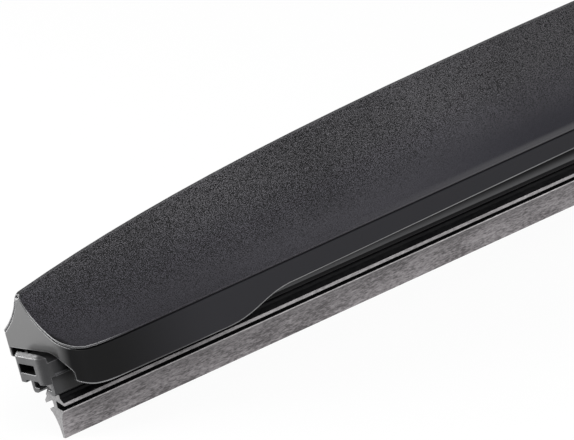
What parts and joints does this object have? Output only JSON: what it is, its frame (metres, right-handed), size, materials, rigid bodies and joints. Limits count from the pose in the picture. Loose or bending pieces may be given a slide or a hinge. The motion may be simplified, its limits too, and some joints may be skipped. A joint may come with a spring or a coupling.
{
  "type": "wiper blade",
  "caption": "Covered windscreen wiper blade: hinged lever frame under grained spoiler covers, clawed yokes holding a rubber squeegee, and a hook adapter for the arm.",
  "frame": {"origin": "middle of the wiping edge, under the centre of the overall box", "axes": "+X along the blade, -Y towards the long grained front flank, +Z away from the glass"},
  "size_m": [0.4558, 0.0184, 0.036],
  "materials": {
    "cover": "fine moulded grain on the flanks, satin skirts",
    "lever": "satin black paint on pressed steel",
    "yoke": "satin black paint on pressed steel",
    "claw": "satin moulded nylon",
    "adapter": "smooth moulded plastic",
    "pin": "plain drawn steel",
    "bush": "plain nylon",
    "vertebra": "bright spring steel",
    "rubber": "graphite-coated rubber"
  },
  "bodies": {
    "frame": {"centre_cover": "cover", "primary_lever": "lever", "centre_pin": "pin", "left_lever_bush": "bush", "right_lever_bush": "bush", "squeegee": "rubber", "front_vertebra": "vertebra", "rear_vertebra": "vertebra"},
    "adapter": {"arm_adapter": "adapter"},
    "left_lever": {"left_end_cover": "cover", "left_secondary_lever": "lever", "left_lever_claw": "claw", "left_lever_pin": "pin", "left_yoke_pin": "pin"},
    "left_yoke": {"left_yoke": "yoke", "left_outer_claw": "claw", "left_inner_claw": "claw", "left_yoke_bush": "bush"},
    "right_lever": {"right_end_cover": "cover", "right_secondary_lever": "lever", "right_lever_claw": "claw", "right_lever_pin": "pin", "right_yoke_pin": "pin"},
    "right_yoke": {"right_yoke": "yoke", "right_outer_claw": "claw", "right_inner_claw": "claw", "right_yoke_bush": "bush"}
  },
  "joints": [
    {"name": "adapter_hinge", "type": "hinge", "parent": "frame", "child": "adapter", "pos_m": [0, 0, 0.025], "axis": [0, -1, 0], "range_deg": [-8, 30]},
    {"name": "left_lever_hinge", "type": "hinge", "parent": "frame", "child": "left_lever", "pos_m": [-0.084, 0, 0.015], "axis": [0, 1, 0], "range_deg": [-3.5, 3.5], "stiffness_Nm_per_rad": 1, "springref_deg": 1.15, "deforming": ["squeegee", "front_vertebra", "rear_vertebra"]},
    {"name": "left_yoke_hinge", "type": "hinge", "parent": "left_lever", "child": "left_yoke", "pos_m": [-0.162, 0, 0.0137], "axis": [0, 1, 0], "range_deg": [-1.8, 0.45], "stiffness_Nm_per_rad": 0.6, "deforming": ["squeegee", "front_vertebra", "rear_vertebra"]},
    {"name": "right_lever_hinge", "type": "hinge", "parent": "frame", "child": "right_lever", "pos_m": [0.084, 0, 0.015], "axis": [0, -1, 0], "range_deg": [-3.5, 3.5], "stiffness_Nm_per_rad": 1, "springref_deg": 1.15, "deforming": ["squeegee", "front_vertebra", "rear_vertebra"]},
    {"name": "right_yoke_hinge", "type": "hinge", "parent": "right_lever", "child": "right_yoke", "pos_m": [0.162, 0, 0.0137], "axis": [0, -1, 0], "range_deg": [-1.8, 0.45], "stiffness_Nm_per_rad": 0.6, "deforming": ["squeegee", "front_vertebra", "rear_vertebra"]}
  ]
}
